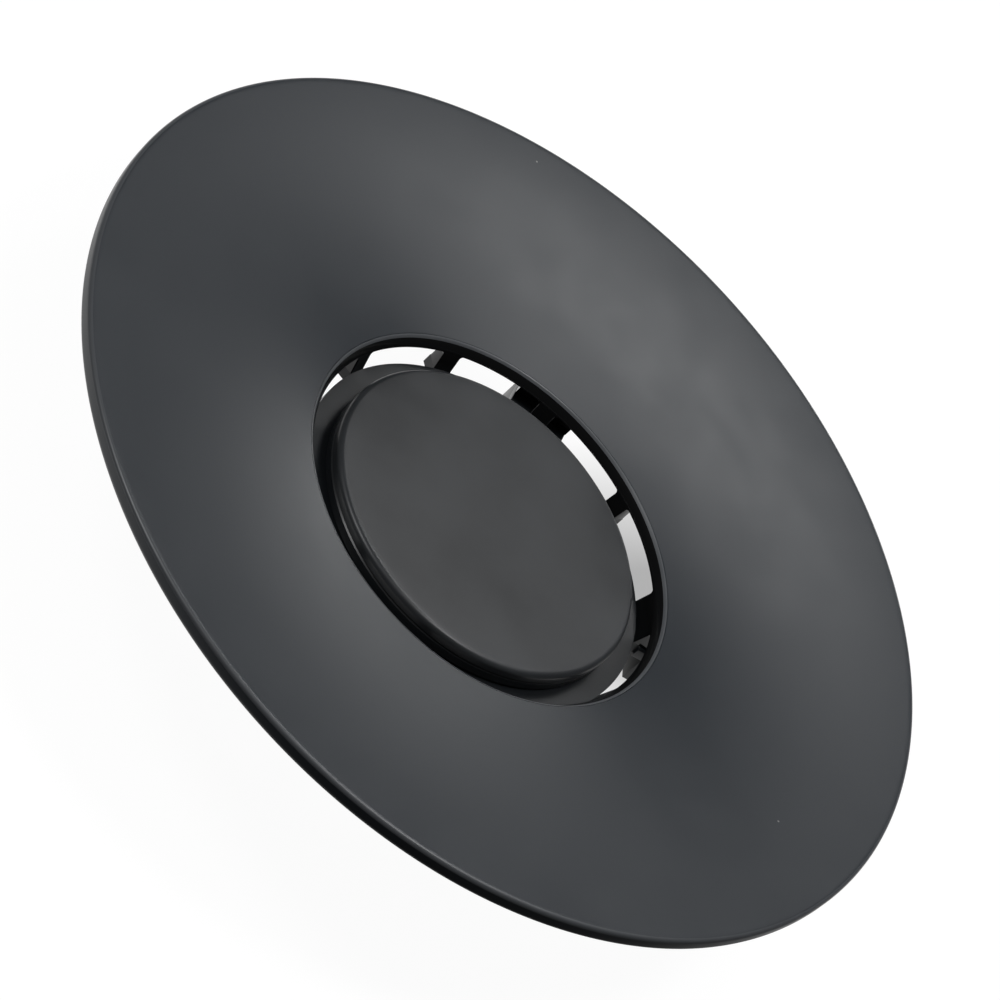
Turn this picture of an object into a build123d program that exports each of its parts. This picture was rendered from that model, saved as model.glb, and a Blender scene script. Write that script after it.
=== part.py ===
"""Sink-top feed fitting of a kitchen garbage disposal.

A wide dished plate leads to a slotted strainer well. A cap stands in the well and closes the throat.
The cap turns on a keyed plug, which swings a lock bar under a ledge in the throat, and then lifts out.
Millimetres, +Z up, origin in the middle of the neck's lower end.
"""

from build123d import *
from math import atan2, cos, radians, sin, sqrt, tan
import os

os.makedirs("parts", exist_ok=True)

# Dish plate
plate_radius = 100.0
rim_height = 43.75
rim_thickness = 3.95
rim_flat = 1.0
rim_top_round = 0.9
rim_under_round = 1.6
plate_wall = 3.0
dish_depth = 11.25
dish_rim_slope = 7.5
well_radius = 43.7
lip_thickness = 1.1

# Ring below the plate that drops into the sink outlet, and the gussets outside it
outlet_ring_wall = 1.8
outlet_ring_depth = 8.0
outlet_ring_reach = 4.0
outlet_shoulder = 0.9
gusset_count = 12
gusset_thickness = 1.6
gusset_end_height = 1.2
gusset_margin = 10.0

# Rim gasket
gasket_inset = 3.5
gasket_width = 5.0
gasket_groove_depth = 0.4
gasket_stand = 1.0
gasket_round = 0.8

# Strainer collar
seam_clearance = 0.1
mouth_round = 0.6
lead_taper = 34.5
lead_depth = 2.0
collar_taper = 15.0
collar_wall = 3.6
flange_width = 3.4
flange_thickness = 1.4
slot_height = 4.3
slot_corner = 0.8
slot_width_angle = 28.0
narrow_rib_angle = 6.0
slots_per_group = 5

# Ears and the screws that hold plate, collar and throat together
ear_width = 14.0
ear_corner = 2.5
ear_end = 3.3
ear_clearance = 0.3
post_depth = 6.5
screw_radius = 1.5
screw_clearance = 0.2
screw_head_radius = 3.0
screw_head_height = 2.2
screw_socket_across = 2.5
screw_socket_depth = 1.3
insert_wall = 1.0
insert_length = 2.4
insert_roof = 0.2
insert_margin = 0.5
boss_wall = 1.4
thread_clearance = 0.05

# Throat sleeve
floor_thickness = 2.5
throat_inset = 5.2
keyway_depth = 3.1
neck_wall = 3.3
neck_chamfer = 0.8
baffle_seat_width = 2.4
baffle_seat_depth = 6.5

# Neck seal
neck_seal_groove = 1.3
neck_seal_width = 3.0
neck_seal_height = 3.0
neck_seal_round = 1.0

# Splash baffle and its ring
baffle_bead = 2.0
baffle_sheet = 1.6
baffle_drop = 3.2
baffle_hole_radius = 8.0
baffle_slits = 8
baffle_slit_width = 0.6
baffle_slit_margin = 3.0
baffle_ring_inset = 0.8
baffle_ring_width = 3.3
fit_clearance = 0.05

# Cap
cap_radius = 36.2
cap_disc_thickness = 2.7
cap_edge_round = 1.5
cap_seam_chamfer = 0.3
skirt_wall = 1.5
skirt_tongue_wall = 0.6
skirt_tongue_height = 0.9
running_gap = 0.3

# Plug
plug_flange_thickness = 1.2
plug_seal_thickness = 1.2
skirt_to_plug = 0.4
plug_clearance = 0.5
plug_wall = 2.5
plug_floor = 3.0
plug_depth = 11.4
key_clearance = 0.4
key_length = 9.4

# Stem and bush
stem_radius = 4.0
stem_spigot_radius = 3.0
spigot_flat = 2.2
stem_socket_roof = 1.4
stem_boss_wall = 5.0
stem_pin_radius = 1.0
bush_clearance = 0.05
bush_wall = 2.5
bush_flange_wall = 5.0
bush_flange_thickness = 1.5

# Lock bar, its washer and its screw
washer_thickness = 0.8
washer_width = 4.7
washer_clearance = 0.3
bar_width = 11.0
bar_thickness = 3.4
bar_side_clearance = 0.8
bar_tip_clearance = 0.9
bar_height_clearance = 0.5
bar_screw_radius = 1.6
bar_screw_length = 7.0
bar_screw_head_radius = 4.5
bar_screw_head_height = 2.4
bar_socket_across = 3.0
bar_socket_depth = 1.4

# Magnets
magnet_radius = 5.0
magnet_height = 4.0
magnet_offset = 19.0
magnet_boss_wall = 1.5

# How near an edge has to be to the size or height it is chosen by
edge_tolerance = 0.01

# Heights that follow, from the rim down to the floor of the well, then up and down the cap
plate_inner_height = rim_height - dish_depth
rim_under = rim_height - rim_thickness
lip_under = plate_inner_height - lip_thickness
slot_top = lip_under - flange_thickness
floor_top = slot_top - slot_height
floor_under = floor_top - floor_thickness
plug_flange_under = floor_top + plug_seal_thickness
plug_top = plug_flange_under + plug_flange_thickness
cap_disc_under = plug_top + running_gap
cap_top_height = cap_disc_under + cap_disc_thickness
plug_under = plug_flange_under - plug_depth
plug_floor_top = plug_under + plug_floor
bush_top = plug_floor_top + bush_flange_thickness
bar_top = plug_under - running_gap - washer_thickness
bar_under = bar_top - bar_thickness

# The dish is an arc that steepens from the rim to the well; its chord has the mean of its end slopes
dish_start = plate_radius - rim_flat
dish_run = dish_start - well_radius
rim_slope = radians(dish_rim_slope)
dish_slope = 2 * atan2(dish_depth, dish_run) - rim_slope
dish_arc_radius = dish_run / (sin(dish_slope) - sin(rim_slope))
arc_centre_radius = dish_start + dish_arc_radius * sin(rim_slope)
arc_centre_height = rim_height - dish_arc_radius * cos(rim_slope)


def dish_height(radius, below=0.0):
    """Height of the dish's upper face at a radius, or of a face that lies parallel below it."""
    return arc_centre_height + sqrt((dish_arc_radius - below) ** 2 - (arc_centre_radius - radius) ** 2)


def dish_under_radius(height):
    """Radius at which the dish's under face has a height."""
    under_arc = dish_arc_radius - plate_wall
    return arc_centre_radius - sqrt(under_arc**2 - (height - arc_centre_height) ** 2)


def dish_point(radius, below=0.0):
    """Point of the dish's section at a radius."""
    return (radius, dish_height(radius, below))


# Slots and ribs, as angles from +X
slot_pitch = slot_width_angle + narrow_rib_angle
slot_angles = [
    side + (index - (slots_per_group - 1) / 2) * slot_pitch
    for side in (90, 270)
    for index in range(slots_per_group)
]
ear_angle = 90 - slot_pitch / 2
ear_angles = [0, ear_angle, 180, -ear_angle]

# Inner face of the collar, from the seam round the mouth, down the conical lead and the tapered wall
collar_seam_radius = well_radius - seam_clearance
lead_slope = radians(90 - lead_taper)
lead_under = plate_inner_height - lead_depth


def mouth_point(slope):
    """Point of the rounded mouth where its face has a slope, in radians from level."""
    inward = mouth_round * (sin(slope) - sin(dish_slope))
    down = mouth_round * (cos(dish_slope) - cos(slope))
    return (collar_seam_radius - inward, plate_inner_height - down)


mouth_end = mouth_point(lead_slope)
lead_end_radius = mouth_end[0] - (mouth_end[1] - lead_under) * tan(radians(lead_taper))
well_floor_radius = lead_end_radius - (lead_under - floor_top) * tan(radians(collar_taper))
collar_outer_radius = well_floor_radius + collar_wall
flange_radius = collar_outer_radius + flange_width

# Radii of the ears' screws, of the throat and of the plug
insert_radius = screw_radius + insert_wall
screw_circle = flange_radius + seam_clearance + insert_margin + insert_radius
ear_reach = screw_circle + ear_end
outlet_ring_inner = ear_reach + ear_clearance
outlet_ring_radius = outlet_ring_inner + outlet_ring_wall
throat_radius = cap_radius - throat_inset
keyway_radius = throat_radius + keyway_depth
keyway_width = bar_width + 2 * bar_side_clearance
neck_radius = keyway_radius + neck_wall
neck_groove_radius = neck_radius - neck_seal_groove
neck_seal_radius = neck_radius + neck_seal_width
baffle_seat_radius = throat_radius + baffle_seat_width


def slot_outlines(inner_radius, outer_radius):
    """Outlines of all the slots seen from above, between two radii."""
    with BuildSketch() as outlines:
        for angle in slot_angles:
            start_angle = angle - slot_width_angle / 2
            with BuildLine():
                inner_arc = CenterArc((0, 0), inner_radius, start_angle, slot_width_angle)
                outer_arc = CenterArc((0, 0), outer_radius, start_angle, slot_width_angle)
                Line(inner_arc @ 0, outer_arc @ 0)
                Line(inner_arc @ 1, outer_arc @ 1)
            make_face()
    return outlines.sketch


def ear_outlines(inner_radius):
    """Outlines of the four ears seen from above, from a radius out to their rounded ends."""
    ear_length = ear_reach - inner_radius
    with BuildSketch() as outlines:
        for angle in ear_angles:
            middle = Vector(inner_radius + ear_length / 2, 0).rotate(Axis.Z, angle)
            with Locations(Location(middle, (0, 0, angle))):
                Rectangle(ear_length, ear_width)
        outer_corners = outlines.vertices().sort_by_distance((0, 0))[-2 * len(ear_angles):]
        fillet(outer_corners, ear_corner)
    return outlines.sketch


screw_points = [Vector(screw_circle, 0).rotate(Axis.Z, angle) for angle in ear_angles]


def circles_of_radius(chosen_edges, radius):
    """The round edges of one radius."""
    round_edges = chosen_edges.filter_by(GeomType.CIRCLE)
    return round_edges.filter_by(lambda edge: abs(edge.radius - radius) < edge_tolerance)


# Wide dished plate with a thick rounded rim, an outlet ring below and gussets outside it
with BuildPart() as dish_plate:
    with BuildSketch(Plane.XZ):
        with BuildLine():
            lip_end = dish_under_radius(lip_under)
            bead_inner = dish_under_radius(rim_under)
            middle_radius = (dish_start + well_radius) / 2
            ThreePointArc(dish_point(dish_start), dish_point(middle_radius), dish_point(well_radius))
            Polyline(dish_point(well_radius), (well_radius, lip_under), (lip_end, lip_under))
            ThreePointArc(
                (lip_end, lip_under),
                dish_point(middle_radius, plate_wall),
                (bead_inner, rim_under),
            )
            Polyline(
                (bead_inner, rim_under),
                (plate_radius, rim_under),
                (plate_radius, rim_height),
                dish_point(dish_start),
            )
        make_face()
    revolve(axis=Axis.Z)
    fillet(circles_of_radius(edges(), plate_radius).sort_by(Axis.Z)[-1], rim_top_round)
    fillet(circles_of_radius(edges(), plate_radius).sort_by(Axis.Z)[0], rim_under_round)
    shoulder_radius = outlet_ring_radius + outlet_shoulder
    ring_under = dish_height(outlet_ring_radius, plate_wall) - outlet_ring_depth
    with BuildSketch(Plane.XZ):
        with BuildLine():
            Polyline(
                dish_point(outlet_ring_inner, plate_wall / 2),
                (outlet_ring_inner, ring_under),
                (outlet_ring_radius, ring_under),
                (outlet_ring_radius, ring_under + outlet_ring_reach),
                (shoulder_radius, ring_under + outlet_ring_reach),
                dish_point(shoulder_radius, plate_wall / 2),
                close=True,
            )
        make_face()
    revolve(axis=Axis.Z)
    gasket_outer_radius = plate_radius - gasket_inset
    gasket_inner_radius = gasket_outer_radius - gasket_width
    gusset_start = outlet_ring_radius
    gusset_end = bead_inner - gusset_margin
    gusset_middle = (gusset_start + gusset_end) / 2
    for gusset in range(gusset_count):
        gusset_turn = (gusset + 0.5) * 360 / gusset_count
        with BuildSketch(Plane.XZ.rotated((0, 0, gusset_turn))):
            with BuildLine():
                ThreePointArc(
                    dish_point(gusset_start, plate_wall / 2),
                    dish_point(gusset_middle, plate_wall / 2),
                    dish_point(gusset_end, plate_wall / 2),
                )
                Polyline(
                    dish_point(gusset_end, plate_wall / 2),
                    dish_point(gusset_end, plate_wall + gusset_end_height),
                    (gusset_start, ring_under + outlet_ring_reach),
                    dish_point(gusset_start, plate_wall / 2),
                )
            make_face()
        extrude(amount=gusset_thickness / 2, both=True)
    with BuildSketch(Plane.XY.offset(slot_top)):
        with Locations(*screw_points):
            Circle(insert_radius + boss_wall)
    extrude(amount=dish_height(screw_circle, plate_wall / 2) - slot_top)
    with BuildSketch(Plane.XY.offset(slot_top)):
        Circle(flange_radius + seam_clearance)
        Circle(well_radius, mode=Mode.SUBTRACT)
    extrude(amount=flange_thickness, mode=Mode.SUBTRACT)
    with BuildSketch(Plane.XY.offset(slot_top)):
        with Locations(*screw_points):
            Circle(insert_radius)
    extrude(amount=insert_length + insert_roof, mode=Mode.SUBTRACT)
    gasket_top = rim_under + gasket_groove_depth
    gasket_under = rim_under - gasket_stand
    with BuildSketch(Plane.XY.offset(gasket_under)):
        Circle(gasket_outer_radius + seam_clearance)
        Circle(gasket_inner_radius - seam_clearance, mode=Mode.SUBTRACT)
    extrude(amount=gasket_top - gasket_under, mode=Mode.SUBTRACT)
dish_plate.part.label = "dish_plate"
export_step(dish_plate.part, "parts/dish_plate.step")

# Rubber ring in the groove under the rim, with a rounded lower face
with BuildPart() as rim_gasket:
    with BuildSketch(Plane.XY.offset(gasket_under)):
        Circle(gasket_outer_radius)
        Circle(gasket_inner_radius, mode=Mode.SUBTRACT)
    extrude(amount=gasket_top - gasket_under)
    fillet(rim_gasket.faces().sort_by(Axis.Z)[0].edges(), gasket_round)
rim_gasket.part.label = "rim_gasket"
export_step(rim_gasket.part, "parts/rim_gasket.step")

# Slotted collar: rounded mouth, tapered wall cut into ribs, flange under the plate's lip, four ears
with BuildPart() as strainer_collar:
    with BuildSketch(Plane.XZ):
        with BuildLine():
            mouth_middle = mouth_point((dish_slope + lead_slope) / 2)
            ThreePointArc(mouth_point(dish_slope), mouth_middle, mouth_end)
            Polyline(
                mouth_end,
                (lead_end_radius, lead_under),
                (well_floor_radius, floor_top),
                (collar_outer_radius, floor_top),
                (collar_outer_radius, slot_top),
                (flange_radius, slot_top),
                (flange_radius, lip_under),
                (collar_seam_radius, lip_under),
                mouth_point(dish_slope),
            )
        make_face()
    revolve(axis=Axis.Z)
    with BuildSketch(Plane.XY.offset(floor_top)):
        add(slot_outlines(throat_radius, flange_radius))
    extrude(amount=slot_height, mode=Mode.SUBTRACT)
    level_edges = edges().filter_by(GeomType.LINE).filter_by(Plane.XY)
    slot_corners = level_edges.filter_by_position(Axis.Z, slot_top - edge_tolerance, slot_top + edge_tolerance)
    fillet(slot_corners, slot_corner)
    with BuildSketch(Plane.XY.offset(floor_top)):
        add(ear_outlines(collar_outer_radius - seam_clearance))
    extrude(amount=slot_height)
    with BuildSketch(Plane.XY.offset(floor_top)):
        with Locations(*screw_points):
            Circle(screw_radius + screw_clearance)
    extrude(amount=slot_height, mode=Mode.SUBTRACT)
strainer_collar.part.label = "strainer_collar"
export_step(strainer_collar.part, "parts/strainer_collar.step")

# Throat sleeve: floor of the well, screw posts below the collar's ears, and the neck with its keyways
post_under = floor_under - post_depth
with BuildPart() as throat_sleeve:
    with BuildSketch(Plane.XY.offset(floor_under)):
        Circle(collar_outer_radius)
    extrude(amount=floor_thickness)
    with BuildSketch(Plane.XY.offset(floor_under)):
        add(slot_outlines(well_floor_radius, flange_radius))
    extrude(amount=floor_thickness, mode=Mode.SUBTRACT)
    with BuildSketch(Plane.XY.offset(floor_under)):
        add(ear_outlines(collar_outer_radius - ear_corner))
    extrude(amount=floor_thickness)
    with BuildSketch(Plane.XY.offset(post_under)):
        add(ear_outlines(collar_outer_radius))
    extrude(amount=post_depth)
    with BuildSketch(Plane.XY):
        Circle(neck_radius)
    extrude(amount=floor_under)
    chamfer(throat_sleeve.faces().sort_by(Axis.Z)[0].edges(), neck_chamfer)
    with BuildSketch(Plane.XY.offset(floor_under - neck_seal_height)):
        Circle(neck_seal_radius)
        Circle(neck_groove_radius, mode=Mode.SUBTRACT)
    extrude(amount=neck_seal_height, mode=Mode.SUBTRACT)
    with BuildSketch(Plane.XY):
        Circle(throat_radius)
    extrude(amount=floor_top, mode=Mode.SUBTRACT)
    ledge_under = bar_top + bar_height_clearance
    recess_under = bar_under - bar_height_clearance
    with BuildSketch(Plane.XY.offset(ledge_under)):
        Rectangle(2 * keyway_radius, keyway_width)
        Circle(keyway_radius, mode=Mode.INTERSECT)
    extrude(amount=floor_top - ledge_under, mode=Mode.SUBTRACT)
    with BuildSketch(Plane.XY.offset(recess_under)):
        Circle(keyway_radius)
    extrude(amount=ledge_under - recess_under, mode=Mode.SUBTRACT)
    with BuildSketch(Plane.XY):
        Circle(baffle_seat_radius)
    extrude(amount=baffle_seat_depth, mode=Mode.SUBTRACT)
    with BuildSketch(Plane.XY.offset(post_under)):
        with Locations(*screw_points):
            Circle(screw_radius + screw_clearance)
    extrude(amount=floor_top - post_under, mode=Mode.SUBTRACT)
throat_sleeve.part.label = "throat_sleeve"
export_step(throat_sleeve.part, "parts/throat_sleeve.step")

# Four screws from below, through posts and ears into the plate's bosses
with BuildPart() as stack_screws:
    with BuildSketch(Plane.XY.offset(post_under - screw_head_height)):
        with Locations(*screw_points):
            Circle(screw_head_radius)
    extrude(amount=screw_head_height)
    with BuildSketch(Plane.XY.offset(post_under)):
        with Locations(*screw_points):
            Circle(screw_radius)
    extrude(amount=slot_top + insert_length - post_under)
    with BuildSketch(Plane.XY.offset(post_under - screw_head_height)):
        with Locations(*screw_points):
            RegularPolygon(screw_socket_across / 2, 6, major_radius=False)
    extrude(amount=screw_socket_depth, mode=Mode.SUBTRACT)
stack_screws.part.label = "stack_screws"
export_step(stack_screws.part, "parts/stack_screws.step")

# Brass threaded inserts in the plate's bosses
with BuildPart() as boss_inserts:
    with BuildSketch(Plane.XY.offset(slot_top)):
        with Locations(*screw_points):
            Circle(insert_radius)
            Circle(screw_radius + thread_clearance, mode=Mode.SUBTRACT)
    extrude(amount=insert_length)
boss_inserts.part.label = "boss_inserts"
export_step(boss_inserts.part, "parts/boss_inserts.step")

# Rubber ring in the groove round the neck, against the underside of the floor
with BuildPart() as neck_seal:
    with BuildSketch(Plane.XY.offset(floor_under - neck_seal_height)):
        Circle(neck_seal_radius)
        Circle(neck_groove_radius, mode=Mode.SUBTRACT)
    extrude(amount=neck_seal_height)
    seal_edges = edges().filter_by(GeomType.CIRCLE).sort_by(SortBy.RADIUS)[-2:]
    fillet(seal_edges, neck_seal_round)
neck_seal.part.label = "neck_seal"
export_step(neck_seal.part, "parts/neck_seal.step")

# Slit rubber baffle: a thick bead in the seat and a sheet that slopes down to the middle
baffle_radius = baffle_seat_radius - fit_clearance
baffle_bead_inner = throat_radius - baffle_bead
baffle_bead_under = baffle_seat_depth - baffle_bead
with BuildPart() as splash_baffle:
    with BuildSketch(Plane.XZ):
        with BuildLine():
            Polyline(
                (baffle_radius, baffle_seat_depth),
                (baffle_bead_inner, baffle_seat_depth),
                (baffle_hole_radius, baffle_seat_depth - baffle_drop),
                (baffle_hole_radius, baffle_seat_depth - baffle_drop - baffle_sheet),
                (baffle_bead_inner, baffle_bead_under),
                (baffle_radius, baffle_bead_under),
                close=True,
            )
        make_face()
    revolve(axis=Axis.Z)
    slit_length = baffle_bead_inner - baffle_slit_margin
    with BuildSketch(Plane.XY):
        with PolarLocations(slit_length / 2, baffle_slits):
            Rectangle(slit_length, baffle_slit_width)
    extrude(amount=baffle_seat_depth, mode=Mode.SUBTRACT)
splash_baffle.part.label = "splash_baffle"
export_step(splash_baffle.part, "parts/splash_baffle.step")

# Ring that keeps the baffle's bead in its seat
with BuildPart() as baffle_ring:
    with BuildSketch(Plane.XY.offset(baffle_ring_inset)):
        Circle(baffle_radius)
        Circle(baffle_radius - baffle_ring_width, mode=Mode.SUBTRACT)
    extrude(amount=baffle_bead_under - baffle_ring_inset)
    chamfer(baffle_ring.faces().sort_by(Axis.Z)[0].edges(), neck_chamfer)
baffle_ring.part.label = "baffle_ring"
export_step(baffle_ring.part, "parts/baffle_ring.step")

# Plug: a cup that hangs in the throat by its flange, with two keys in the keyways
plug_radius = throat_radius - plug_clearance
plug_flange_radius = cap_radius - skirt_wall - skirt_to_plug
plug_cup_radius = plug_radius - plug_wall
bush_radius = stem_radius + bush_clearance + bush_wall
key_radius = keyway_radius - plug_clearance
key_top = floor_top - running_gap
with BuildPart() as plug_body:
    with BuildSketch(Plane.XZ):
        with BuildLine():
            Polyline(
                (bush_radius, plug_under),
                (plug_radius, plug_under),
                (plug_radius, plug_flange_under),
                (plug_flange_radius, plug_flange_under),
                (plug_flange_radius, plug_top),
                (plug_cup_radius, plug_top),
                (plug_cup_radius, plug_floor_top),
                (bush_radius, plug_floor_top),
                close=True,
            )
        make_face()
    revolve(axis=Axis.Z)
    with BuildSketch(Plane.XY.offset(key_top - key_length)):
        Rectangle(2 * key_radius, keyway_width - 2 * key_clearance)
        Circle(key_radius, mode=Mode.INTERSECT)
        Circle(plug_radius - plug_wall / 2, mode=Mode.SUBTRACT)
    extrude(amount=key_length)
plug_body.part.label = "plug_body"
export_step(plug_body.part, "parts/plug_body.step")

# Flat rubber ring between the plug's flange and the floor of the well
with BuildPart() as plug_seal:
    with BuildSketch(Plane.XY.offset(floor_top)):
        Circle(plug_flange_radius)
        Circle(plug_radius, mode=Mode.SUBTRACT)
    extrude(amount=plug_seal_thickness)
plug_seal.part.label = "plug_seal"
export_step(plug_seal.part, "parts/plug_seal.step")

# Flanged bush for the stem, pressed into the plug's floor
with BuildPart() as stem_bush:
    with BuildSketch(Plane.XZ):
        with BuildLine():
            bush_bore = stem_radius + bush_clearance
            Polyline(
                (bush_bore, plug_under),
                (bush_radius, plug_under),
                (bush_radius, plug_floor_top),
                (bush_bore + bush_flange_wall, plug_floor_top),
                (bush_bore + bush_flange_wall, bush_top),
                (bush_bore, bush_top),
                close=True,
            )
        make_face()
    revolve(axis=Axis.Z)
stem_bush.part.label = "stem_bush"
export_step(stem_bush.part, "parts/stem_bush.step")

# Disc of the cap, with the stem's boss, the magnets' pockets and the groove for the skirt below
stem_boss_under = bush_top + running_gap
stem_boss_radius = stem_radius + stem_boss_wall
stem_top = cap_top_height - stem_socket_roof
pin_height = (stem_boss_under + cap_disc_under) / 2
tongue_inner = cap_radius - skirt_wall
magnet_boss_under = cap_disc_under - magnet_height
with BuildPart() as cap_top:
    with BuildSketch(Plane.XY.offset(cap_disc_under)):
        Circle(cap_radius)
    extrude(amount=cap_disc_thickness)
    fillet(cap_top.faces().sort_by(Axis.Z)[-1].edges(), cap_edge_round)
    chamfer(cap_top.faces().sort_by(Axis.Z)[0].edges(), cap_seam_chamfer)
    with BuildSketch(Plane.XY.offset(stem_boss_under)):
        Circle(stem_boss_radius)
    extrude(amount=cap_disc_under - stem_boss_under)
    with BuildSketch(Plane.XY.offset(magnet_boss_under)):
        with PolarLocations(magnet_offset, 2, start_angle=90):
            Circle(magnet_radius + magnet_boss_wall)
    extrude(amount=magnet_height)
    with BuildSketch(Plane.XY.offset(magnet_boss_under)):
        with PolarLocations(magnet_offset, 2, start_angle=90):
            Circle(magnet_radius)
    extrude(amount=magnet_height, mode=Mode.SUBTRACT)
    with BuildSketch(Plane.XY.offset(stem_boss_under)):
        Circle(stem_radius)
    extrude(amount=stem_top - stem_boss_under, mode=Mode.SUBTRACT)
    with BuildSketch(Plane.XZ):
        with Locations((0, pin_height)):
            Circle(stem_pin_radius)
    extrude(amount=stem_boss_radius, both=True, mode=Mode.SUBTRACT)
    with BuildSketch(Plane.XY.offset(cap_disc_under)):
        Circle(tongue_inner + skirt_tongue_wall)
        Circle(tongue_inner, mode=Mode.SUBTRACT)
    extrude(amount=skirt_tongue_height, mode=Mode.SUBTRACT)
cap_top.part.label = "cap_top"
export_step(cap_top.part, "parts/cap_top.step")

# Gloss ring under the disc, held by a tongue in the disc's groove
skirt_under = floor_top + running_gap
with BuildPart() as cap_skirt:
    with BuildSketch(Plane.XY.offset(skirt_under)):
        Circle(cap_radius)
        Circle(tongue_inner, mode=Mode.SUBTRACT)
    extrude(amount=cap_disc_under - skirt_under)
    chamfer(circles_of_radius(edges(), cap_radius), cap_seam_chamfer)
    with BuildSketch(Plane.XY.offset(cap_disc_under)):
        Circle(tongue_inner + skirt_tongue_wall)
        Circle(tongue_inner, mode=Mode.SUBTRACT)
    extrude(amount=skirt_tongue_height)
cap_skirt.part.label = "cap_skirt"
export_step(cap_skirt.part, "parts/cap_skirt.step")

# Stem: held in the cap's boss, runs in the bush, and carries the bar on a flatted spigot
with BuildPart() as cap_stem:
    with BuildSketch(Plane.XY.offset(bar_top)):
        Circle(stem_radius)
    extrude(amount=stem_top - bar_top)
    with BuildSketch(Plane.XY.offset(bar_under)):
        Circle(stem_spigot_radius)
        Rectangle(2 * stem_spigot_radius, 2 * spigot_flat, mode=Mode.INTERSECT)
    extrude(amount=bar_thickness)
    with BuildSketch(Plane.XY.offset(bar_under)):
        Circle(bar_screw_radius + thread_clearance)
    extrude(amount=bar_screw_length, mode=Mode.SUBTRACT)
    with BuildSketch(Plane.XZ):
        with Locations((0, pin_height)):
            Circle(stem_pin_radius)
    extrude(amount=stem_radius, both=True, mode=Mode.SUBTRACT)
cap_stem.part.label = "cap_stem"
export_step(cap_stem.part, "parts/cap_stem.step")

# Cross pin through boss and stem
with BuildPart() as stem_pin:
    with BuildSketch(Plane.XZ):
        with Locations((0, pin_height)):
            Circle(stem_pin_radius)
    extrude(amount=stem_boss_radius - seam_clearance, both=True)
stem_pin.part.label = "stem_pin"
export_step(stem_pin.part, "parts/stem_pin.step")

# Thrust washer on top of the bar
with BuildPart() as stem_washer:
    with BuildSketch(Plane.XY.offset(bar_top)):
        Circle(stem_radius + washer_clearance + washer_width)
        Circle(stem_radius + washer_clearance, mode=Mode.SUBTRACT)
    extrude(amount=washer_thickness)
stem_washer.part.label = "stem_washer"
export_step(stem_washer.part, "parts/stem_washer.step")

# Lock bar with rounded ends, on the spigot's flats
bar_tip_radius = keyway_radius - bar_tip_clearance
with BuildPart() as lock_bar:
    with BuildSketch(Plane.XY.offset(bar_under)):
        Rectangle(2 * bar_tip_radius, bar_width)
        Circle(bar_tip_radius, mode=Mode.INTERSECT)
    extrude(amount=bar_thickness)
    with BuildSketch(Plane.XY.offset(bar_under)):
        Circle(stem_spigot_radius)
        Rectangle(2 * stem_spigot_radius, 2 * spigot_flat, mode=Mode.INTERSECT)
    extrude(amount=bar_thickness, mode=Mode.SUBTRACT)
lock_bar.part.label = "lock_bar"
export_step(lock_bar.part, "parts/lock_bar.step")

# Screw that holds the bar on the stem
with BuildPart() as stem_screw:
    with BuildSketch(Plane.XY.offset(bar_under - bar_screw_head_height)):
        Circle(bar_screw_head_radius)
    extrude(amount=bar_screw_head_height)
    with BuildSketch(Plane.XY.offset(bar_under)):
        Circle(bar_screw_radius)
    extrude(amount=bar_screw_length - running_gap)
    with BuildSketch(Plane.XY.offset(bar_under - bar_screw_head_height)):
        RegularPolygon(bar_socket_across / 2, 6, major_radius=False)
    extrude(amount=bar_socket_depth, mode=Mode.SUBTRACT)
stem_screw.part.label = "stem_screw"
export_step(stem_screw.part, "parts/stem_screw.step")

# Two magnets in the disc's pockets
with BuildPart() as cap_magnets:
    with BuildSketch(Plane.XY.offset(magnet_boss_under)):
        with PolarLocations(magnet_offset, 2, start_angle=90):
            Circle(magnet_radius)
    extrude(amount=magnet_height)
cap_magnets.part.label = "cap_magnets"
export_step(cap_magnets.part, "parts/cap_magnets.step")
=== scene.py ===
"""Looks of the sink-top feed fitting of a kitchen garbage disposal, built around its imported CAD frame."""
from math import acos, atan2, ceil, cos, pi, radians, sin, sqrt, tan

import bmesh
import bpy
import numpy as np
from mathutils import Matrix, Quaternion, Vector


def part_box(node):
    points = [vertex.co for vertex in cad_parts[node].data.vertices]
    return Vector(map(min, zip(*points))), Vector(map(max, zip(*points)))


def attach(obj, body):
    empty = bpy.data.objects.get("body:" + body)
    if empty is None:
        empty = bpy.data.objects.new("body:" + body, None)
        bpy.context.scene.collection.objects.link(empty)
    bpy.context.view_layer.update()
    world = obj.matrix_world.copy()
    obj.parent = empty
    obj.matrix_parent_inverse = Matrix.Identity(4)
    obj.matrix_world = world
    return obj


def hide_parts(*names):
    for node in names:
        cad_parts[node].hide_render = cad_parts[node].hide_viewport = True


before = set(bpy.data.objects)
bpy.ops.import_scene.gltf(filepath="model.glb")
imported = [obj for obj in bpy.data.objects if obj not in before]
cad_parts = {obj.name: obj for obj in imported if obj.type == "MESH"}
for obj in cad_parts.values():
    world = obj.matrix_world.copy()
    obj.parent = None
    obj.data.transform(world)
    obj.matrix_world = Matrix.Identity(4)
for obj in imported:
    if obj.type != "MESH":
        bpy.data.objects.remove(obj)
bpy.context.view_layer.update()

scene = bpy.context.scene
scene.view_settings.view_transform = "Standard"

# Camera
# It looks across the dish from a little over a third of the way up, turned on its own axis so that
# the fitting's axis leans to the upper right. Pixels are those of a 1000 by 1000 frame.
mm = 0.001
frame_pixels = 1000
view_azimuth = radians(-29.4)
view_elevation = radians(37.27)
view_roll = radians(48.06)
view_distance = 700 * mm
view_height = 44 * mm
view_clip = 10 * mm
sensor_width = 36
focal_pixels = 3553
rim_centre_pixel = (528.8, 484.8)

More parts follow.
